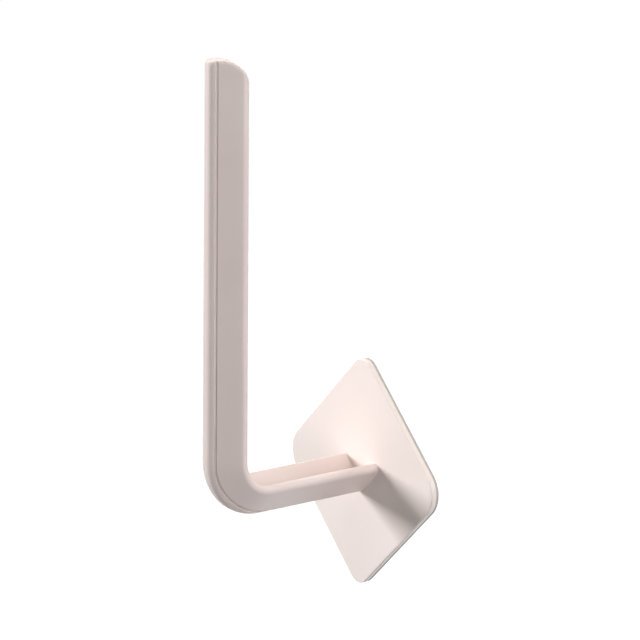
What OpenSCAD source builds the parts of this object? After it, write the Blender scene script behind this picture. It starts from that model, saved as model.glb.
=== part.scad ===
// Adhesive wall hook: an L-shaped channel arm on a square stick-on plate that stands on its corner.
// The wall is the plane y = 0, the hook stands out towards -Y, and the plate's centre is the origin.

/* [Plate] */
// Side of the square plate
plate_side = 65; // [45:1:90]
// Thickness of the plate
plate_t = 2.1; // [1.6:0.1:4]
// Radius of the top and bottom corners
corner_top_r = 6; // [2:0.5:12]
// Radius of the left and right corners
corner_side_r = 10.5; // [2:0.5:16]

/* [Adhesive pad] */
// Thickness of the foam carrier
foam_t = 1; // [0.5:0.1:3]
// Thickness of each adhesive film
film_t = 0.1; // [0.05:0.05:0.3]
// How far the pad stays inside the plate's edge
pad_inset = 0.4; // [0:0.1:3]

/* [Arm] */
// Distance from the wall to the front of the arm
arm_reach = 74.9; // [55:0.1:110]
// Height of the tip above the plate's centre
arm_rise = 160.7; // [90:0.1:220]
// Depth of the arm's underside below the plate's centre
arm_drop = 6.7; // [3:0.1:15]
// Width of the arm at the bend, over both rims
arm_w = 20.3; // [16:0.1:30]
// Depth of the arm from its front face to its rims
arm_depth = 11.7; // [9:0.1:16]
// Inner radius of the bend, at the rims
bend_r = 10.8; // [6:0.1:20]
// Width of the flat land along the top of each rim
rim_land = 0.3; // [0.2:0.1:1.5]
// Thickness of the web behind the face strip
web_t = 1.8; // [1.5:0.1:3]
// Radius of the rounded rims
rim_r = 2; // [1:0.1:3]
// Radius of the tip's rounded end, on the wall side
tip_r = 11.2; // [5:0.1:15]
// Thickness of the end wall that closes the tip
tip_wall_t = 2; // [1:0.1:3]
// Angle by which each side leans in towards the tip
draft = 0.44; // [0:0.02:0.6]

/* [Face strip] */
// Width of the face strip at the bend
strip_w = 6.5; // [5.5:0.1:10]
// Thickness of the face strip
strip_t = 2.3; // [1.5:0.1:3]
// Radius of the strip's front edges
strip_edge_r = 2.1; // [0.4:0.1:2.2]
// Radius of the strip's front corner at the tip
strip_tip_r = 2.2; // [0.5:0.1:3]
// Width of the open seam between the strip and the sides
seam_w = 0.4; // [0.2:0.1:0.8]
// Width of the locating tongue on the strip's back
tongue_w = 1.4; // [1:0.1:2]
// Height of the locating tongue
tongue_h = 0.8; // [0.5:0.1:1]

/* [Root joint] */
// Height of the concave flare where the arm meets the plate
flare_h = 2.6; // [1:0.1:4]
// How far the tenon stays inside the arm's sides
tenon_inset = 0.6; // [0.3:0.1:1]
// Thickness of the staked foot behind the plate
foot_t = 0.9; // [0.5:0.1:1.2]
// How far the staked foot reaches past the tenon
foot_lip = 2; // [1:0.1:4]
// Clearance round the tenon and its foot
joint_gap = 0.1; // [0.05:0.05:0.2]

/* [Hidden] */
$fn = 64;
plate_colour = [0.93, 0.88, 0.86];
arm_colour = [0.9, 0.84, 0.82];
foam_colour = [0.74, 0.71, 0.7];
film_colour = [0.86, 0.85, 0.82];

// Steps in each rounded stretch of an outline
arc_steps = 8;
// Overrun of every cut past the face that it opens
overrun = 1;
// Bond line between the strip and the channel
bond_gap = 0.1;
// Length of the straight land at each end of the bend
bend_land = 2;
// Angle at which the rounding of a rim ends in its flat land
rim_edge_angle = 55;
// Largest share of the strip's thickness that its edge rounding takes up
nose_share = 0.95;

// Levels behind the plate's front face
tape_t = foam_t + 2 * film_t;
front_y = -(tape_t + plate_t);

// The arm's path: level leg, bend and upright leg, measured on its front face
bend_front_r = bend_r + arm_depth;
bend_y = bend_front_r - arm_reach;
bend_z = bend_front_r - arm_drop;
level_len = front_y - bend_y;
upright_len = arm_rise - bend_z;
// The lean of each side, with its cosine rounded so that a leaning leg keeps its depth to the last digit
cosine_step_share = 1e-6;
side_lean = acos(round(cos(draft) / cosine_step_share) * cosine_step_share);
root_shift = level_len * tan(side_lean);
half_overlap = root_shift + overrun;

// The arm's section: x across the arm, y from its front face towards the rims
seat_v = strip_t + bond_gap;
side_v = strip_t + seam_w;
floor_v = strip_t + seam_w + web_t;
strip_half = strip_w / 2;
seat_half = strip_half - seam_w;
tongue_half = tongue_w / 2;
rim_centre = [arm_w / 2 - rim_r, arm_depth - rim_r * sin(rim_edge_angle)];
rim_ray = rim_centre - [strip_half, side_v];
flare_angle = atan2(rim_ray.y, rim_ray.x) - asin(rim_r / norm(rim_ray));
flare_end = rim_centre + rim_r * [sin(flare_angle), -cos(flare_angle)];
flare_len = norm(flare_end - [strip_half, side_v]);
rim_edge_x = rim_centre.x + rim_r * cos(rim_edge_angle);
// Half width that shifting a flared side inwards by d takes off the section
function side_inset(d) = d / sin(flare_angle);
function side_x(v) = strip_half + (v - side_v) / tan(flare_angle);

// Points on an arc about c with radius r, from angle a to angle b
function arc(c, r, a, b) = [
    for (i = [0 : arc_steps])
        let (t = a + (b - a) * i / arc_steps)
        c + r * [cos(t), sin(t)]
];

// Half outline of the filled channel
channel_half = concat(
    [[-half_overlap, seat_v], [seat_half, seat_v], [seat_half, side_v], [strip_half, side_v]],
    arc(rim_centre, rim_r, flare_angle - 90, rim_edge_angle),
    [[-half_overlap, arm_depth]]
);
// Half outline of the hollow between the flared sides
hollow_top = arm_depth + overrun;
function hollow_x(v) = rim_edge_x - rim_land - (arm_depth - v) / tan(flare_angle);
hollow_half = [
    [-half_overlap, floor_v],
    [hollow_x(floor_v), floor_v],
    [hollow_x(arm_depth), arm_depth],
    [hollow_x(arm_depth), hollow_top],
    [-half_overlap, hollow_top]
];
// Half outline of the face strip
nose_r = min(strip_edge_r, nose_share * strip_t);
strip_half_outline = concat(
    [[-half_overlap, 0]],
    arc([strip_half - nose_r, nose_r], nose_r, -90, 0),
    [[strip_half, strip_t], [-half_overlap, strip_t]]
);

// Half outline of a straight rib or groove of half width w, from depth a to depth b
function rib_half(w, a, b) = [[-w, a], [w, a], [w, b], [-w, b]];

// Outline of the tenon's cross-section, grown by g
tenon_low = side_v + tenon_inset;
function tenon_x(v, g) = side_x(v) + root_shift - side_inset(tenon_inset - g);
function tenon_outline(g) = let (low = tenon_low - g, high = flare_end.y + g)
    [[tenon_x(low, g), low], [tenon_x(high, g), high], [-tenon_x(high, g), high], [-tenon_x(low, g), low]];

// Outline of a square on its corner, d inside the plate's edge
function plate_corner_r(k) = k % 2 == 0 ? corner_side_r : corner_top_r;
function plate_outline(d) = [
    for (k = [0 : 3])
        let (r = plate_corner_r(k), reach = (plate_side / 2 - r) * sqrt(2))
        each arc(reach * [cos(90 * k), sin(90 * k)], r - d, 90 * k - 45, 90 * k + 45)
];

// A layer parallel to the wall, from depth y towards the room
module wall_layer(y, thickness) {
    translate([0, -y, 0]) rotate([90, 0, 0]) linear_extrude(thickness) children();
}

// Both halves of a half outline
module whole_section(half) {
    for (side = [0, 1]) mirror([side, 0]) polygon(half);
}

// One straight leg: a short land next to the bend, then two mirrored halves that each lean by an angle
module leg(half, length, lean) {
    linear_extrude(bend_land) whole_section(half);
    for (side = [0, 1]) mirror([side, 0, 0]) intersection() {
        translate([0, -arm_w, bend_land]) cube([arm_w, 2 * arm_w, length - bend_land]);
        rotate([0, lean, 0]) linear_extrude(length + overrun) polygon(half);
    }
}

// A half outline carried along the whole arm
module along_arm(half, lean) {
    translate([0, bend_y, bend_z]) rotate([0, 90, 0]) rotate([0, 0, -90]) rotate_extrude(angle = 90)
        translate([bend_front_r, 0]) rotate(90) whole_section(half);
    translate([0, -arm_reach, bend_z]) leg(half, upright_len, -lean);
    translate([0, bend_y, -arm_drop]) rotate([90, 0, 180]) leg(half, level_len, lean);
}

// A side profile drawn in Y and Z, carried across the arm's width
module across_arm() {
    rotate([90, 0, 90]) linear_extrude(2 * arm_w, center = true) children();
}

// What a rounded end corner of radius r takes away, with its centre at the origin
module corner_waste(r) {
    across_arm() difference() {
        square(r + overrun);
        circle(r);
    }
}

// The rounded corner at the top of the tip, on the wall side
module at_tip_centre() {
    translate([0, arm_depth - arm_reach - tip_r, arm_rise - tip_r]) children();
}

// The front corner at the top of the tip
module strip_tip_waste() {
    translate([0, strip_tip_r - arm_reach, arm_rise - strip_tip_r])
        mirror([0, 1, 0]) corner_waste(strip_tip_r);
}

// The end wall that closes the channel at the tip
module tip_wall() {
    inner_r = tip_r - tip_wall_t;
    at_tip_centre() across_arm() difference() {
        translate([-arm_depth, 0]) square([arm_depth + tip_r + 2 * overrun, tip_r + overrun]);
        translate([-arm_depth, 0]) square([arm_depth, inner_r]);
        circle(inner_r);
    }
}

// Concave flare along a face of the arm that leaves the plate, at an angle in the section
module root_flare(at, angle, length) {
    bite = rim_r / 2;
    centre_share = 1.25;
    centre = centre_share * flare_h;
    translate([at.x, front_y, at.y - arm_drop]) rotate([180, 90 - angle, 0])
        linear_extrude(length) difference() {
            translate([-bite, 0]) square([bite + flare_h, flare_h]);
            translate([centre, centre]) circle(norm([centre, centre - flare_h]));
        }
}

module root_flares() {
    rim_w = arm_w / 2 - rim_edge_x;
    for (side = [0, 1]) mirror([side, 0, 0]) {
        root_flare(flare_end + [root_shift, 0], flare_angle, flare_len);
        root_flare([rim_edge_x + root_shift, arm_depth], 180, rim_w);
    }
}

module base_plate() {
    color(plate_colour) difference() {
        wall_layer(tape_t, plate_t) polygon(plate_outline(0));
        translate([0, overrun, -arm_drop]) wall_layer(tape_t, plate_t + 2 * overrun)
            polygon(tenon_outline(joint_gap));
        translate([0, overrun, -arm_drop]) wall_layer(tape_t, foot_t + overrun)
            polygon(tenon_outline(foot_lip + joint_gap));
    }
}

module hook_arm() {
    color(arm_colour) difference() {
        union() {
            along_arm(channel_half, side_lean);
            root_flares();
            translate([0, 0, -arm_drop]) wall_layer(tape_t, plate_t) polygon(tenon_outline(0));
            translate([0, 0, -arm_drop]) wall_layer(tape_t, foot_t) polygon(tenon_outline(foot_lip));
        }
        difference() {
            along_arm(hollow_half, side_lean);
            tip_wall();
        }
        along_arm(rib_half(tongue_half + bond_gap, 0, strip_t + tongue_h + bond_gap), 0);
        at_tip_centre() corner_waste(tip_r);
        strip_tip_waste();
    }
}

module arm_face_strip() {
    root_half = strip_half + root_shift;
    color(arm_colour) difference() {
        union() {
            along_arm(strip_half_outline, side_lean);
            along_arm(rib_half(tongue_half, strip_t / 2, strip_t + tongue_h), 0);
            root_flare([root_half, 0], 0, 2 * root_half);
        }
        strip_tip_waste();
    }
}

module plate_side_adhesive() {
    color(film_colour) wall_layer(film_t + foam_t, film_t) polygon(plate_outline(pad_inset));
}

module foam_pad() {
    color(foam_colour) wall_layer(film_t, foam_t) polygon(plate_outline(pad_inset));
}

module wall_side_adhesive() {
    color(film_colour) wall_layer(0, film_t) polygon(plate_outline(pad_inset));
}

base_plate();
hook_arm();
arm_face_strip();
plate_side_adhesive();
foam_pad();
wall_side_adhesive();
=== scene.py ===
# %% [markdown]
# # A stick-on wall hook
#
# The real object is a plastic hook with no moving parts. A square plate stands on its corner and sticks
# to the wall. A channel-shaped arm comes straight out of it, bends upwards and ends in a long upright
# leg that keeps things on it. The measured solids are loaded first. Every piece below is then shaped in
# the same frame, so nothing needs fitting: the wall is the plane y = 0, the hook stands out towards -Y,
# and Z is up.

# %% Load the measured solids
import math

import bmesh
import bpy
from mathutils import Matrix, Vector


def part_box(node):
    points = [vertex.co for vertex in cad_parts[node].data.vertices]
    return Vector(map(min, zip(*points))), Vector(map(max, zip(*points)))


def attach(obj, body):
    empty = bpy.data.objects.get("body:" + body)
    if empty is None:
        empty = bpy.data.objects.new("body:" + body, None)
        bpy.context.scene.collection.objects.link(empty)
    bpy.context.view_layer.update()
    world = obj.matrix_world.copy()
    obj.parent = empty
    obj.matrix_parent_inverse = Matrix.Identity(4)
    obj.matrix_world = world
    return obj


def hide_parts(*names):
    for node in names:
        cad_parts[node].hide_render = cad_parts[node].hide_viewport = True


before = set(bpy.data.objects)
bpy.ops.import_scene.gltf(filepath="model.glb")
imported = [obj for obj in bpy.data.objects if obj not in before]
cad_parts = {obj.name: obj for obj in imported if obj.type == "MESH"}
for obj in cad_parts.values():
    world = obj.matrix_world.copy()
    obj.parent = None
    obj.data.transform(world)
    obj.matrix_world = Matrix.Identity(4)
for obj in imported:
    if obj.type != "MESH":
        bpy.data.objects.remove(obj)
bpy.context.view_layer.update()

print("solids:", sorted(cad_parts))

# %% [markdown]
# ## Sizes
#
# Sizes are written in millimetres and turned into metres where a mesh is made. What the solids' boxes
# can tell is read from them. The rest repeats the hook's driving dimensions, because a box can't tell a
# radius.

# %% Sizes
MM = 0.001


def box_mm(node):
    """The two corners of a solid's box, in millimetres."""
    low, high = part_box(node)
    return low / MM, high / MM


plate_low, plate_high = box_mm("base_plate")
strip_low, strip_high = box_mm("arm_face_strip")
foam_low, foam_high = box_mm("foam_pad")

plate_side = 65.0
corner_top_r = 6.0
corner_side_r = 10.5
pad_inset = 0.1
arm_reach = -strip_low.y
arm_rise = strip_high.z
arm_drop = 7.1
arm_w = 20.4
arm_depth = 12.35
bend_r = 10.8
side_lean = 0.44
tip_h = 7.8
tip_wall_t = 2.0
front_y = plate_low.y
print("reach, rise and plate face in mm:", round(arm_reach, 2), round(arm_rise, 2), round(front_y, 2))

# %% [markdown]
# ## The camera
#
# The photograph looks at the hook from its right and a little from above, from about a metre away. The
# angles and the focal length were found by lining up the plate's corners and the arm's edges with the
# picture. The sensor stays at its usual 36 mm, so the lens follows from the focal length in pixels and
# the picture's width.

# %% The camera
picture_px = 640
focal_px = 2741.46
view_azimuth = math.radians(51.68)
view_elevation = math.radians(13.25)
view_roll = math.radians(0.86)
view_distance = 1.028
view_right = -0.01754
view_up = 0.05639

back = Vector((
    math.sin(view_azimuth) * math.cos(view_elevation),
    -math.cos(view_azimuth) * math.cos(view_elevation),
    math.sin(view_elevation),
))
level_right = Vector((math.cos(view_azimuth), math.sin(view_azimuth), 0))
level_up = back.cross(level_right)
right = level_right * math.cos(view_roll) + level_up * math.sin(view_roll)
up = level_up * math.cos(view_roll) - level_right * math.sin(view_roll)

camera = bpy.data.objects.new("camera", bpy.data.cameras.new("camera"))
bpy.context.scene.collection.objects.link(camera)
camera.data.sensor_width = 36
camera.data.lens = focal_px / picture_px * camera.data.sensor_width
turn = Matrix((right, up, back)).transposed().to_4x4()
camera.matrix_world = Matrix.Translation(back * view_distance + right * view_right + up * view_up) @ turn
bpy.context.scene.camera = camera
camera_place = [round(c, 3) for c in camera.matrix_world.translation]
print("camera at", camera_place, "lens", round(camera.data.lens, 1))

# %% [markdown]
# ## From outlines to a mesh
#
# A moulded arm is one outline carried along a path, so it is made as a loft: the same closed outline is
# placed at many stations and the rings are joined with quads. A boolean of blocks would give the same
# shape, but its edges would need repair before they could be rounded. A loft keeps clean rows of faces,
# and its roundings are drawn in the outline itself.
#
# Each outline is drawn for the right half only, as points (x, v): x across the arm, v from the front
# face inwards.

# %% Outline helpers
def arc(centre, radius, start, end, steps):
    """Points on an arc, with angles in degrees."""
    angles = [math.radians(start + (end - start) * i / steps) for i in range(steps + 1)]
    return [(centre[0] + radius * math.cos(a), centre[1] + radius * math.sin(a)) for a in angles]


def between(start, end, steps):
    """Points that divide a straight stretch, without its two ends."""
    shares = [i / steps for i in range(1, steps)]
    return [(start[0] + (end[0] - start[0]) * s, start[1] + (end[1] - start[1]) * s) for s in shares]


def eased(before, corner, after, radius, steps=4):
    """A corner rounded with a radius, as points of the arc that touches both of its sides."""
    to_before = (Vector(before) - Vector(corner)).normalized()
    to_after = (Vector(after) - Vector(corner)).normalized()
    half = to_before.angle(to_after) / 2
    centre = Vector(corner) + (to_before + to_after).normalized() * radius / math.sin(half)
    first = Vector(corner) + to_before * radius / math.tan(half) - centre
    last = Vector(corner) + to_after * radius / math.tan(half) - centre
    return [tuple(centre + first.slerp(last, i / steps).normalized() * radius) for i in range(steps + 1)]


def whole_loop(half):
    """A right half outline that starts and ends on the middle line, closed with its mirror image."""
    return half + [(-x, v) for x, v in reversed(half[1:-1])]


def loop_normals(loop):
    """Directions that point out of the plastic at each point of a closed outline."""
    normals = []
    for i, here in enumerate(loop):
        ahead = Vector(loop[(i + 1) % len(loop)]) - Vector(here)
        behind = Vector(here) - Vector(loop[i - 1])
        along = ahead.normalized() + behind.normalized()
        normals.append(Vector((along.y, -along.x)).normalized())
    return normals


print("a quarter arc of radius 2 has", len(arc((0, 0), 2, 0, 90, 8)), "points")

# %% [markdown]
# ## The arm's path
#
# The arm leaves the plate level, turns through a quarter circle and climbs. A point of the outline is
# placed by its station: a distance from the plate, an angle in the bend or a height. Both sides lean in
# by less than half a degree all the way from the plate to the tip, which is what lets the real moulding
# leave its tool.

# %% The arm's path
taper = math.tan(math.radians(side_lean))
bend_front_r = bend_r + arm_depth
bend_y = bend_front_r - arm_reach
bend_z = bend_front_r - arm_drop
level_len = front_y - bend_y


def width_at(leg, where):
    """The arm's width at a station, as a share of its width in the bend."""
    if leg == "level":
        return 1 + taper * (level_len - where) / (arm_w / 2)
    if leg == "upright":
        return 1 - taper * (where - bend_z) / (arm_w / 2)
    return 1


def on_arm(leg, where, x, v):
    """A point of the outline at a station of the arm, in metres."""
    x *= width_at(leg, where)
    if leg == "level":
        return Vector((x, front_y - where, v - arm_drop)) * MM
    if leg == "upright":
        return Vector((x, v - arm_reach, where)) * MM
    radius = bend_front_r - v
    return Vector((x, bend_y - radius * math.sin(where), bend_z - radius * math.cos(where))) * MM


print("level leg", round(level_len, 1), "mm, bend centre", round(bend_y, 1), round(bend_z, 1))

# %% [markdown]
# ## One outline for the whole arm
#
# Seen end on, the arm is a blunt V: a rounded nose in front and two flared sides that run straight from
# the nose to the rims. Nose, side and rim touch without a corner, so the outline is a chain of arc,
# straight and arc. It is measured along its own length, because the seam of the face strip then slides
# along it freely.

# %% The outer outline
nose_flat = 0.7
nose_r = 2.7
rim_r = 1.9

rim_centre = Vector((arm_w / 2 - rim_r, arm_depth - rim_r))
nose_to_rim = rim_centre - Vector((nose_flat, nose_r))
flare = math.atan2(nose_to_rim.y, nose_to_rim.x) + math.asin((nose_r - rim_r) / nose_to_rim.length)
side_start = Vector((nose_flat + nose_r * math.sin(flare), nose_r * (1 - math.cos(flare))))
side_end = rim_centre + Vector((math.sin(flare), -math.cos(flare))) * rim_r
nose_length = nose_flat + nose_r * flare
side_length = (side_end - side_start).length


def outline_at(along):
    """A point of the outer outline and its direction, by the distance from the middle of the nose."""
    if along < nose_flat:
        return Vector((along, 0)), Vector((1, 0))
    turned = min((along - nose_flat) / nose_r, flare)
    heading = Vector((math.cos(turned), math.sin(turned)))
    point = Vector((nose_flat + nose_r * heading.y, nose_r * (1 - heading.x)))
    return point + heading * max(along - nose_length, 0), heading


def along_at(v):
    """The distance along the outer outline where it is a depth v behind the front."""
    if v < side_start.y:
        return nose_flat + nose_r * math.acos(1 - v / nose_r)
    return nose_length + (v - side_start.y) / math.sin(flare)


print("flare", round(math.degrees(flare), 1), "degrees, straight side", round(side_length, 1), "mm")

# %% [markdown]
# ## Where the seam runs
#
# The seam between the face strip and the channel isn't at one depth. It lies well behind the front on
# the upright leg, sinks a little deeper in the bend and runs out under the nose on the level leg. One
# oval arc explains all three: the seam turns the corner on a wider curve than the front face does. Its
# depth at a station is where that curve crosses the station's plane.

# %% Depth of the seam
seam_upright_v = 1.94
seam_level_v = 0.1
seam_wide = 28.5
seam_high = 22.45
seam_centre = Vector((seam_upright_v - arm_reach + seam_wide, seam_level_v - arm_drop + seam_high))


def seam_depth(leg, where):
    """Depth of the seam behind the front face at a station of the arm."""
    if leg == "level":
        share = max(seam_centre.x - (front_y - where), 0) / seam_wide
        return seam_centre.y - seam_high * math.sqrt(1 - share ** 2) + arm_drop
    if leg == "upright":
        share = max(seam_centre.y - where, 0) / seam_high
        return seam_centre.x - seam_wide * math.sqrt(1 - share ** 2) + arm_reach
    ray = Vector((-math.sin(where) / seam_wide, -math.cos(where) / seam_high))
    offset = Vector(((bend_y - seam_centre.x) / seam_wide, (bend_z - seam_centre.y) / seam_high))
    ahead = offset.dot(ray)
    root = math.sqrt(ahead ** 2 - ray.dot(ray) * (offset.dot(offset) - 1))
    return bend_front_r - (root - ahead) / ray.dot(ray)


depths = [seam_depth("level", 0), seam_depth("bend", math.pi / 4), seam_depth("upright", arm_rise)]
print("seam depth on the level leg, in the bend and on the upright:", [round(d, 2) for d in depths])

# %% [markdown]
# ## The shape of the tip
#
# The tip is a low dome rather than a flat cut, which is kind to the hand and leaves the mould easily.
# Seen from the side it has a crest: a short slope runs forward to the face strip and a long one curves
# back to the rims. Two small formulas describe it, one for the depth and one for the distance from the
# middle.

# %% The shape of the tip
tip_edge_r = 1.1
tip_edge_share = 0.8
tip_front_r = 10.0
tip_dome_r = 22.0
crest_v = 5.2


def tip_top(v, inwards):
    """Height of the tip at a depth v: a crest with a short slope in front and a long one behind."""
    front = max(crest_v - v, 0)
    front_drop = tip_front_r - math.sqrt(tip_front_r ** 2 - front ** 2)
    behind = min(max(v - crest_v, 0) / (arm_depth - crest_v - inwards), 1)
    back_drop = (tip_h - inwards) * (1 - math.sqrt(1 - behind ** 2))
    return arm_rise - inwards - front_drop - back_drop


def dome_drop(x):
    """How far the domed tip falls away to the side at a distance x from the middle."""
    return tip_dome_r - math.sqrt(tip_dome_r ** 2 - x ** 2)


def tip_rounding(x):
    """Radius of the rounding across the tip, for an outline point at a distance x from the middle."""
    return min(tip_edge_r, tip_edge_share * abs(x))


print("the tip falls", round(tip_top(crest_v, 0) - tip_top(0, 0), 2), "mm from its crest to the front")

# %% [markdown]
# ## Rings along the arm
#
# Where the arm meets the plate, the moulding has a concave fillet. The first rings draw it: each point
# moves out of the plastic along its own direction on a quarter circle, so the surface ends flush with
# the plate. At the tip each point stops at its own height, which rounds the end without any cutting.
# The outline stops a little short there, to leave room for a rounding across the arm.

# %% Rings along the arm
root_steps = 12
root_depth = 8.0
root_crowding = 2.5
level_steps = 12
bend_steps = 28
upright_steps = 18
tip_steps = 7
tip_lead = 6.0
tip_start = arm_rise - tip_h - tip_lead


def steps_between(start, end, steps):
    """Values that divide a stretch evenly, without its start."""
    return [start + (end - start) * i / steps for i in range(1, steps + 1)]


def fillet_rise(radius, away):
    """How far a quarter-circle fillet stands out at a distance from the plate."""
    short = max(radius - away, 0)
    return radius - math.sqrt(radius ** 2 - short ** 2)


def arm_rings(loop_at, fillets, top_at, tip_edge):
    """Rings of a closed outline from the plate to the tip, with a root fillet and an end for each point."""
    rings = []
    for k in range(root_steps + 1):
        where = root_depth * (k / root_steps) ** root_crowding
        loop = loop_at("level", where)
        rises = [n * fillet_rise(r, where) for n, r in zip(loop_normals(loop), fillets)]
        rings.append([on_arm("level", where, x + out.x, v + out.y) for (x, v), out in zip(loop, rises)])
    stations = [("level", where) for where in steps_between(root_depth, level_len, level_steps)]
    stations += [("bend", where) for where in steps_between(0, math.pi / 2, bend_steps)]
    stations += [("upright", where) for where in steps_between(bend_z, tip_start, upright_steps)]
    for leg, where in stations:
        rings.append([on_arm(leg, where, x, v) for x, v in loop_at(leg, where)])
    loop = loop_at("upright", tip_start)
    for share in steps_between(0, 1, tip_steps):
        tops = [top_at(k, v) - dome_drop(x) - tip_edge(k, x) for k, (x, v) in enumerate(loop)]
        ends = [tip_start + (top - tip_start) * share for top in tops]
        rings.append([on_arm("upright", end, x, v) for (x, v), end in zip(loop, ends)])
    return rings


def skin(bm, rings):
    """Joins neighbouring rings with quads and returns the rings of vertices."""
    grid = [[bm.verts.new(p) for p in ring] for ring in rings]
    for low, high in zip(grid, grid[1:]):
        for i in range(len(low)):
            j = (i + 1) % len(low)
            bm.faces.new((low[i], low[j], high[j], high[i]))
    return grid


print("rings on the arm:", root_steps + 1 + level_steps + bend_steps + upright_steps + tip_steps)

# %% [markdown]
# ## Closing the tip and making the object
#
# The end of the arm runs across from side to side, so each point of the last ring is joined to its
# mirror image by a row that climbs a quarter round, crosses the dome and comes down again. The rows are
# then joined to each other. A bevel would be shorter to write, but it stops at the closely spaced
# points beside the seam. Edges that stay sharp are marked, so that smooth shading doesn't smear across
# them.

# %% Closing the tip and making the object
tip_turns = [22.5, 45, 67.5, 90]
dome_shares = (0.67, 0.33)
sharp_angle = math.radians(50)


def close_tip(bm, ring, edge_at):
    """Rows across the end of the arm, from each point of the last ring to its mirror image."""
    half = len(ring) // 2
    rows = []
    for i in range(half + 1):
        here, mirror = ring[i], ring[-i % len(ring)]
        if here is mirror:
            rows.append([here])
            continue
        x, z = here.co.x / MM, here.co.z / MM
        radius = edge_at(i, x)
        foot = z + dome_drop(x)
        turns = [math.radians(degrees) for degrees in tip_turns]
        points = [(x - radius * (1 - math.cos(turned)), radius * math.sin(turned)) for turned in turns]
        points += [((x - radius) * share, radius) for share in dome_shares]
        row = [Vector((px * MM, here.co.y, (foot + rise - dome_drop(px)) * MM)) for px, rise in points]
        made = [bm.verts.new(p) for p in row]
        made += [bm.verts.new(Vector((-p.x, p.y, p.z))) for p in reversed(row)]
        rows.append([here] + made + [mirror])
    for low, high in zip(rows, rows[1:]):
        for j in range(max(len(low), len(high)) - 1):
            corners = [low[min(j, len(low) - 1)], low[min(j + 1, len(low) - 1)]]
            corners += [high[min(j + 1, len(high) - 1)], high[min(j, len(high) - 1)]]
            bm.faces.new(list(dict.fromkeys(corners)))
    return len(rows)


def as_piece(bm, name, node):
    """A finished mesh as a smooth object that stands for a solid and rides with it."""
    bmesh.ops.recalc_face_normals(bm, faces=bm.faces)
    for edge in bm.edges:
        edge.smooth = edge.calc_face_angle(0) < sharp_angle
    for face in bm.faces:
        face.smooth = True
    mesh = bpy.data.meshes.new(name)
    bm.to_mesh(mesh)
    bm.free()
    piece = bpy.data.objects.new(name, mesh)
    bpy.context.scene.collection.objects.link(piece)
    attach(piece, "root")
    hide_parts(node)
    size = [round(c / MM, 1) for c in piece.dimensions]
    print(name, "has", len(mesh.polygons), "faces and measures", size, "mm")
    return piece


# %% [markdown]
# ## The channel arm
#
# The channel is the outline behind the seam, folded back on itself: along the side, over the rim and
# down the inside to the floor. The rims are fully rounded outside and almost sharp inside, so they
# catch the light from above as a bright line. In front it has a flat seat for the strip and the bottom
# of the shallow groove that shows as the seam.

# %% Outline of the channel
groove_w = 0.75
groove_depth = 0.42
edge_r = 0.25
edge_room = 0.3
rim_land = 0.5
rim_inner_r = 0.12
floor_v = 4.5
floor_r = 0.4
crown = 0.04
side_steps = 8
inner_steps = 5
rim_steps = 16

rim_arc = arc(rim_centre, rim_r, math.degrees(flare) - 90, 90, rim_steps)
rim_inner = Vector((rim_arc[-1][0] - rim_land, arm_depth - crown))


def groove_side(leg, where, shift):
    """An edge of the groove, the foot of its wall and the edge's distance along the outer outline."""
    along = along_at(seam_depth(leg, where)) + shift
    edge, heading = outline_at(along)
    return edge, edge - Vector((heading.y, -heading.x)) * groove_depth, along


def channel_half(leg, where):
    """The right half outlines outside and inside the channel at a station."""
    seat = groove_side(leg, where, -groove_w / 2)[1]
    edge, wall, along = groove_side(leg, where, groove_w / 2)
    first = along + edge_room
    stretch = nose_length + side_length - along - edge_room
    side = [tuple(outline_at(first + stretch * i / side_steps)[0]) for i in range(side_steps)]
    outer = [(0, seat.y), tuple(seat), tuple(wall)] + eased(wall, edge, side[0], edge_r) + side + rim_arc
    corner = (rim_inner.x - (rim_inner.y - floor_v) / math.tan(flare), floor_v)
    inner = eased(rim_arc[-1], rim_inner, corner, rim_inner_r)
    inner += between(rim_inner, corner, inner_steps)
    inner += eased(rim_inner, corner, (0, floor_v), floor_r)
    return outer, inner + [(0, floor_v - crown)]


def channel_loop(leg, where):
    """The closed outline of the channel at a station."""
    outer, inner = channel_half(leg, where)
    return whole_loop(outer + inner)


outer_count = len(channel_half("upright", tip_start)[0])
channel_count = len(channel_loop("upright", tip_start))
print("channel outline:", channel_count, "points, of which outside on one half:", outer_count)

# %% Loft of the channel
side_fillet = 0.5
inner_fillet = 0.5
fillet_start = 0.6
fillet_growth = 1.5
inner_edge_r = 0.05


def outside(k):
    """Whether a point of the channel's outline is on its outer face."""
    return min(k, channel_count - k) < outer_count


def channel_top(k, v):
    """Height of the rounded end at a depth v, outside or inside the closing wall."""
    return tip_top(v, 0 if outside(k) else tip_wall_t)


def channel_edge(k, x):
    """Radius of the rounding across the tip, full on the outer face and tiny inside."""
    return tip_rounding(x) if outside(k) else min(inner_edge_r, abs(x) / 2)


channel_fillets = []
for k, (x, v) in enumerate(channel_loop("level", 0)):
    clear = min(max((v - seam_level_v - fillet_start) / fillet_growth, 0), 1)
    channel_fillets.append(side_fillet * clear if outside(k) else inner_fillet)

bm = bmesh.new()
grid = skin(bm, arm_rings(channel_loop, channel_fillets, channel_top, channel_edge))
bm.faces.new(grid[0])
print("rows across the tip:", close_tip(bm, grid[-1], channel_edge))
channel_arm = as_piece(bm, "channel_arm", "hook_arm")

# %% [markdown]
# ## The face strip
#
# The strip closes the front of the arm: the nose of the outline, up to the seam. It catches the light
# as one soft band from the tip, round the bend and along the underside. It is lofted on the same path,
# a hair's breadth short of its seat in the channel.

# %% Loft of the face strip
nose_fillet = 0.8
nose_steps = 14
seat_gap = 0.03


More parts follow.
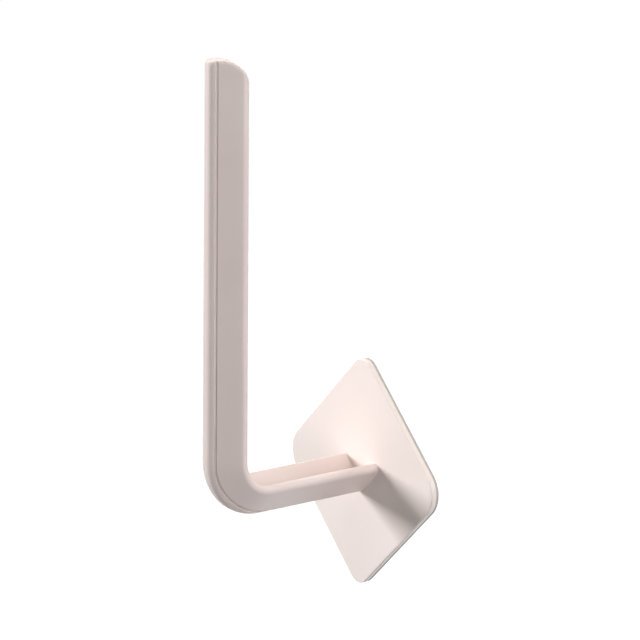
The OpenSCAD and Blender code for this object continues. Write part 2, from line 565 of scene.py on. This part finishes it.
def strip_loop(leg, where):
    """The closed outline of the strip at a station: its nose, rounded edges and flat back."""
    edge, wall, along = groove_side(leg, where, -groove_w / 2)
    stretch = along - edge_room - nose_flat
    nose = [tuple(outline_at(nose_flat + stretch * i / nose_steps)[0]) for i in range(nose_steps + 1)]
    bowed = [(x, v + crown) for x, v in nose]
    foot = wall - Vector((0, seat_gap))
    return whole_loop([(0, 0)] + bowed + eased(nose[-1], edge, foot, edge_r) + [tuple(foot), (0, foot.y)])


def strip_top(k, v):
    """Height of the strip's end at a depth v, the same for every point of its outline."""
    return tip_top(v, 0)


def strip_edge(k, x):
    """Radius of the rounding across the tip, the same for every point of the outline."""
    return tip_rounding(x)


strip_fillets = [nose_fillet * max(-n.y, 0) for n in loop_normals(strip_loop("level", 0))]

bm = bmesh.new()
grid = skin(bm, arm_rings(strip_loop, strip_fillets, strip_top, strip_edge))
bm.faces.new(grid[0])
print("rows across the tip:", close_tip(bm, grid[-1], strip_edge))
face_strip = as_piece(bm, "face_strip", "arm_face_strip")

# %% [markdown]
# ## The plate
#
# The plate is a thin moulded square on its corner. Its left and right corners are rounder than the top
# and bottom ones. The front edge is softened all round, which the photograph shows as a pale band along
# the rim. It is built from rings too: one outline, drawn further in at each step round the edge.

# %% Square outlines
corner_steps = 14


def square_outline(inset):
    """A square on its corner with rounded corners, drawn a distance inside the plate's edge."""
    points = []
    for k in range(4):
        radius = corner_side_r if k % 2 == 0 else corner_top_r
        reach = (plate_side / 2 - radius) * math.sqrt(2)
        middle = math.radians(90 * k)
        centre = (reach * math.cos(middle), reach * math.sin(middle))
        points += arc(centre, radius - inset, 90 * k - 45, 90 * k + 45, corner_steps)
    return points


def slab(profile, closing_shares):
    """A slab on the wall from a profile of (inset, y) steps, closed towards its middle at both ends."""
    bm = bmesh.new()
    rings = [[Vector((x, y, z)) * MM for x, z in square_outline(inset)] for inset, y in profile]
    middle = [Vector((0, y, 0)) * MM for y in (profile[0][1], profile[-1][1])]
    inward = [[middle[1] + (p - middle[1]) * s for p in rings[-1]] for s in closing_shares]
    grid = skin(bm, rings + inward)
    bm.faces.new(grid[0])
    centre = bm.verts.new(middle[1])
    for i, here in enumerate(grid[-1]):
        bm.faces.new((here, grid[-1][(i + 1) % len(grid[-1])], centre))
    return bm


print("plate outline:", len(square_outline(0)), "points")

# %% The plate
plate_edge_r = 0.35
plate_back_r = 0.2
plate_edge_steps = 8
plate_rings = [0.95, 0.8, 0.6, 0.4, 0.2]

plate_profile = [(plate_back_r, plate_high.y), (plate_back_r / 4, plate_high.y - plate_back_r / 4)]
plate_profile += [(0, plate_high.y - plate_back_r), (0, (plate_low.y + plate_high.y) / 2)]
for i in range(plate_edge_steps + 1):
    turned = math.radians(90 * i / plate_edge_steps)
    inset = plate_edge_r * (1 - math.cos(turned))
    plate_profile.append((inset, plate_low.y + plate_edge_r * (1 - math.sin(turned))))
plate = as_piece(slab(plate_profile, plate_rings), "wall_plate", "base_plate")

# %% [markdown]
# ## The stick-on pad
#
# Behind the plate sits a square of double-sided tape: a closed-cell foam carrier with a film of
# adhesive on each face. Its cut edge is the darker band behind the plate's edge. The foam bulges a
# little between its films.

# %% The stick-on pad
bulge = 0.06
pad_edge_steps = 8
foam_rings = [0.9, 0.6, 0.3]
film_rings = [0.97, 0.7, 0.4]


def pad_profile(low, high, swell):
    """Steps round the edge of a soft layer that swells between its two faces."""
    shares = [i / pad_edge_steps for i in range(pad_edge_steps + 1)]
    return [(pad_inset - swell * math.sin(math.pi * s), high + (low - high) * s) for s in shares]


foam_profile = pad_profile(foam_low.y, foam_high.y, bulge)
foam = as_piece(slab(foam_profile, foam_rings), "foam_carrier", "foam_pad")

films = []
for node in ("plate_side_adhesive", "wall_side_adhesive"):
    low, high = box_mm(node)
    film = slab(pad_profile(low.y, high.y, 0), film_rings)
    films.append(as_piece(film, node + "_film", node))

# %% [markdown]
# ## Finishes
#
# All the plastic is one warm white with a satin skin. The plate is given lighter tones than the arm as
# painted light, and the strip darker ones as painted shade. Moulded satin isn't a flat colour: the melt
# leaves very weak, broad shifts of tone, and the tool leaves a grain that is far finer than a
# millimetre. Both effects are node groups, so the plate, the arm and the strip can use them with their
# own values.

# %% Node group helpers
def new_group(name, inputs, outputs):
    """An empty shader node group with named value or colour sockets."""
    group = bpy.data.node_groups.new(name, "ShaderNodeTree")
    for label, kind, value in inputs:
        socket = group.interface.new_socket(label, in_out="INPUT", socket_type=kind)
        socket.default_value = value
    for label, kind in outputs:
        group.interface.new_socket(label, in_out="OUTPUT", socket_type=kind)
    start = group.nodes.new("NodeGroupInput")
    end = group.nodes.new("NodeGroupOutput")
    return group, start, end


def noise(nodes, links, coordinates, scale, detail):
    """A noise texture on the object's own coordinates."""
    node = nodes.new("ShaderNodeTexNoise")
    node.inputs["Detail"].default_value = detail
    links.new(coordinates, node.inputs["Vector"])
    if isinstance(scale, (int, float)):
        node.inputs["Scale"].default_value = scale
    else:
        links.new(scale, node.inputs["Scale"])
    return node


# %% Flow tint: broad, weak shifts of tone in the melt
FLOAT, COLOUR = "NodeSocketFloat", "NodeSocketColor"
flow_tint, start, end = new_group(
    "flow_tint",
    [("Light", COLOUR, (1, 1, 1, 1)), ("Deep", COLOUR, (1, 1, 1, 1)), ("Scale", FLOAT, 40.0)],
    [("Color", COLOUR), ("Mask", FLOAT)],
)
nodes, links = flow_tint.nodes, flow_tint.links
where = nodes.new("ShaderNodeTexCoord")
cloud = noise(nodes, links, where.outputs["Object"], start.outputs["Scale"], detail=3.0)
spread = nodes.new("ShaderNodeMapRange")
spread.inputs["From Min"].default_value = 0.3
spread.inputs["From Max"].default_value = 0.7
links.new(cloud.outputs["Fac"], spread.inputs["Value"])
mix = nodes.new("ShaderNodeMix")
mix.data_type = "RGBA"
links.new(spread.outputs["Result"], mix.inputs["Factor"])
links.new(start.outputs["Light"], mix.inputs["A"])
links.new(start.outputs["Deep"], mix.inputs["B"])
links.new(mix.outputs["Result"], end.inputs["Color"])
links.new(spread.outputs["Result"], end.inputs["Mask"])
print("group", flow_tint.name, "with", len(nodes), "nodes")

# %% Tool grain: the fine satin skin
tool_grain, start, end = new_group(
    "tool_grain",
    [("Scale", FLOAT, 2500.0), ("Smooth", FLOAT, 0.38), ("Rough", FLOAT, 0.48)],
    [("Height", FLOAT), ("Roughness", FLOAT)],
)
nodes, links = tool_grain.nodes, tool_grain.links
where = nodes.new("ShaderNodeTexCoord")
grain = noise(nodes, links, where.outputs["Object"], start.outputs["Scale"], detail=2.0)
gloss = nodes.new("ShaderNodeMapRange")
links.new(grain.outputs["Fac"], gloss.inputs["Value"])
links.new(start.outputs["Smooth"], gloss.inputs["To Min"])
links.new(start.outputs["Rough"], gloss.inputs["To Max"])
links.new(grain.outputs["Fac"], end.inputs["Height"])
links.new(gloss.outputs["Result"], end.inputs["Roughness"])
print("group", tool_grain.name, "with", len(nodes), "nodes")

# %% [markdown]
# ## Satin plastic
#
# One function makes the plastic and each piece passes its own two tones. The strip is a separate
# moulding; its tones are the channel's made a shade darker, which is painted shade, and the plate's
# tones are lighter than the arm's, which is painted light. The Principled shader stays in the
# material, and only colour, roughness and a bump height come from the groups.

# %% Satin plastic
def place_group(nodes, group, values):
    """A node that uses a group, with some of its inputs set."""
    node = nodes.new("ShaderNodeGroup")
    node.node_tree = group
    for label, value in values.items():
        node.inputs[label].default_value = value
    return node


def bump_from(nodes, links, height, distance, strength):
    """A bump node fed by a height, with its distance in metres."""
    node = nodes.new("ShaderNodeBump")
    node.inputs["Distance"].default_value = distance
    node.inputs["Strength"].default_value = strength
    links.new(height, node.inputs["Height"])
    return node


plastic_ior = 1.46
grain_scale = 2600.0
grain_depth = 0.00004
grain_strength = 0.35


def satin_plastic(name, light, deep, tint_scale):
    """The satin plastic in two tones, with broad shifts between them at the given scale."""
    material = bpy.data.materials.new(name)
    material.use_nodes = True
    nodes, links = material.node_tree.nodes, material.node_tree.links
    shader = nodes["Principled BSDF"]
    shader.inputs["IOR"].default_value = plastic_ior
    tint = place_group(nodes, flow_tint, {"Light": (*light, 1), "Deep": (*deep, 1), "Scale": tint_scale})
    grain = place_group(nodes, tool_grain, {"Scale": grain_scale})
    bump = bump_from(nodes, links, grain.outputs["Height"], grain_depth, grain_strength)
    links.new(tint.outputs["Color"], shader.inputs["Base Color"])
    links.new(grain.outputs["Roughness"], shader.inputs["Roughness"])
    links.new(bump.outputs["Normal"], shader.inputs["Normal"])
    print("material", name)
    return material


arm_light = (0.835, 0.72, 0.69)
arm_deep = (0.81, 0.69, 0.66)
# The plate's tones are lighter than the arm's plastic: painted light for the extra light that falls on the
# plate.
plate_light_with_painted_light = (0.92, 0.82, 0.785)
plate_deep_with_painted_light = (0.905, 0.8, 0.765)
# The strip's tones are the channel's made darker: painted shade on the face strip.
strip_painted_shade = 0.96
strip_light_painted_shade = tuple(strip_painted_shade * part for part in arm_light)
strip_deep_painted_shade = tuple(strip_painted_shade * part for part in arm_deep)
channel_arm.data.materials.append(satin_plastic("arm_satin", arm_light, arm_deep, tint_scale=35.0))
face_strip.data.materials.append(satin_plastic("strip_satin_painted_shade", strip_light_painted_shade, strip_deep_painted_shade, tint_scale=30.0))
plate.data.materials.append(satin_plastic("plate_satin_painted_light", plate_light_with_painted_light, plate_deep_with_painted_light, tint_scale=25.0))

# %% [markdown]
# ## Foam and adhesive
#
# Closed-cell foam shows its cut cells as a fine pebbled edge. The adhesive is a tacky film with a
# mottled, slightly glossy face. Both come from the same cell pattern, at different scales.

# %% Tape cells
tape_cells, start, end = new_group(
    "tape_cells",
    [("Scale", FLOAT, 2000.0), ("Wall", COLOUR, (1, 1, 1, 1)), ("Hollow", COLOUR, (1, 1, 1, 1))],
    [("Color", COLOUR), ("Height", FLOAT)],
)
nodes, links = tape_cells.nodes, tape_cells.links
where = nodes.new("ShaderNodeTexCoord")
cells = nodes.new("ShaderNodeTexVoronoi")
cells.feature = "SMOOTH_F1"
links.new(where.outputs["Object"], cells.inputs["Vector"])
links.new(start.outputs["Scale"], cells.inputs["Scale"])
mix = nodes.new("ShaderNodeMix")
mix.data_type = "RGBA"
links.new(cells.outputs["Distance"], mix.inputs["Factor"])
links.new(start.outputs["Hollow"], mix.inputs["A"])
links.new(start.outputs["Wall"], mix.inputs["B"])
links.new(mix.outputs["Result"], end.inputs["Color"])
links.new(cells.outputs["Distance"], end.inputs["Height"])
print("group", tape_cells.name, "with", len(nodes), "nodes")
cell_strength = 0.6


def tape_finish(name, wall, hollow, scale, roughness, depth):
    """A cell pattern with the tones of its walls and hollows, its roughness and its depth in metres."""
    material = bpy.data.materials.new(name)
    material.use_nodes = True
    nodes, links = material.node_tree.nodes, material.node_tree.links
    shader = nodes["Principled BSDF"]
    shader.inputs["Roughness"].default_value = roughness
    cell = place_group(nodes, tape_cells, {"Scale": scale, "Wall": (*wall, 1), "Hollow": (*hollow, 1)})
    bump = bump_from(nodes, links, cell.outputs["Height"], depth, cell_strength)
    links.new(cell.outputs["Color"], shader.inputs["Base Color"])
    links.new(bump.outputs["Normal"], shader.inputs["Normal"])
    print("material", name)
    return material


foam_wall = (0.6, 0.54, 0.52)
foam_hollow = (0.46, 0.41, 0.39)
film_wall = (0.72, 0.7, 0.66)
film_hollow = (0.66, 0.635, 0.59)
foam_cells = tape_finish("foam_cells", foam_wall, foam_hollow, scale=4200.0, roughness=0.9, depth=0.0001)
foam.data.materials.append(foam_cells)
adhesive = tape_finish("adhesive_film", film_wall, film_hollow, scale=900.0, roughness=0.28, depth=0.00003)
for film in films:
    film.data.materials.append(adhesive)

# %% [markdown]
# ## Floor and light
#
# The photograph was taken in a white studio under several large soft lights. The floor is a plain pale
# sheet well below the hook that shows in the picture and in reflections, but sends no soft light up to
# the hook. The sky round the stage shows as plain white to the camera. A soft box far on the left gives
# the plate its brightness and the shadow to the right of the arm. A wide, slightly warm one overhead
# brightens the inside of the channel, and one on the right opens up the sides that face the camera. The
# two behind draw the bright edges of the rims.

# %% Floor
floor_drop = 0.7
floor_size = 16.0
bm = bmesh.new()
bmesh.ops.create_grid(bm, x_segments=2, y_segments=2, size=floor_size / 2)
floor_mesh = bpy.data.meshes.new("floor")
bm.to_mesh(floor_mesh)
bm.free()
floor = bpy.data.objects.new("floor", floor_mesh)
floor.location.z = -floor_drop
bpy.context.scene.collection.objects.link(floor)
floor.visible_diffuse = False
paper = bpy.data.materials.new("white_paper")
paper.use_nodes = True
paper_shader = paper.node_tree.nodes["Principled BSDF"]
paper_shader.inputs["Base Color"].default_value = (0.9, 0.9, 0.9, 1)
paper_shader.inputs["Roughness"].default_value = 0.9
paper_shader.inputs["Emission Color"].default_value = (1, 1, 1, 1)
paper_shader.inputs["Emission Strength"].default_value = 1.0
floor_mesh.materials.append(paper)
print("floor", floor_drop, "m below the plate's centre")

# %% White surroundings
world = bpy.data.worlds.new("studio")
world.use_nodes = True
bpy.context.scene.world = world
nodes, links = world.node_tree.nodes, world.node_tree.links
fill = nodes["Background"]
fill.inputs["Color"].default_value = (1, 1, 1, 1)
fill.inputs["Strength"].default_value = 0.01
backdrop = nodes.new("ShaderNodeBackground")
backdrop.inputs["Color"].default_value = (1, 1, 1, 1)
rays = nodes.new("ShaderNodeLightPath")
choose = nodes.new("ShaderNodeMixShader")
links.new(rays.outputs["Is Camera Ray"], choose.inputs["Fac"])
links.new(fill.outputs["Background"], choose.inputs[1])
links.new(backdrop.outputs["Background"], choose.inputs[2])
links.new(choose.outputs["Shader"], nodes["World Output"].inputs["Surface"])
print("white behind the hook, almost no light from it")

# %% Soft boxes
hook_middle = Vector((0, -0.03, 0.05))
plain_white = (1, 1, 1)
warm_white = (1.0, 0.985, 0.9)


def soft_box(name, place, size, power, colour=plain_white):
    """A square lamp that points at the middle of the hook and stays out of the picture itself."""
    lamp = bpy.data.lights.new(name, "AREA")
    lamp.shape = "SQUARE"
    lamp.size = size
    lamp.energy = power
    lamp.color = colour
    holder = bpy.data.objects.new(name, lamp)
    holder.location = place
    holder.rotation_euler = (hook_middle - Vector(place)).to_track_quat("-Z", "Y").to_euler()
    holder.visible_camera = False
    bpy.context.scene.collection.objects.link(holder)
    print("soft box", name, power, "W")


soft_box("left", (-1.7, -1.5, 0.62), size=0.8, power=58.6)
soft_box("overhead", (0.05, -0.1, 1.2), size=1.0, power=7.6, colour=warm_white)
soft_box("left_back", (-0.6, 0.4, 0.9), size=0.6, power=4.6)
soft_box("right", (1.2, -0.25, 0.18), size=0.9, power=9.4)
soft_box("right_back", (0.8, 0.8, 0.5), size=0.6, power=4.8)
bpy.context.scene.view_settings.view_transform = "Standard"
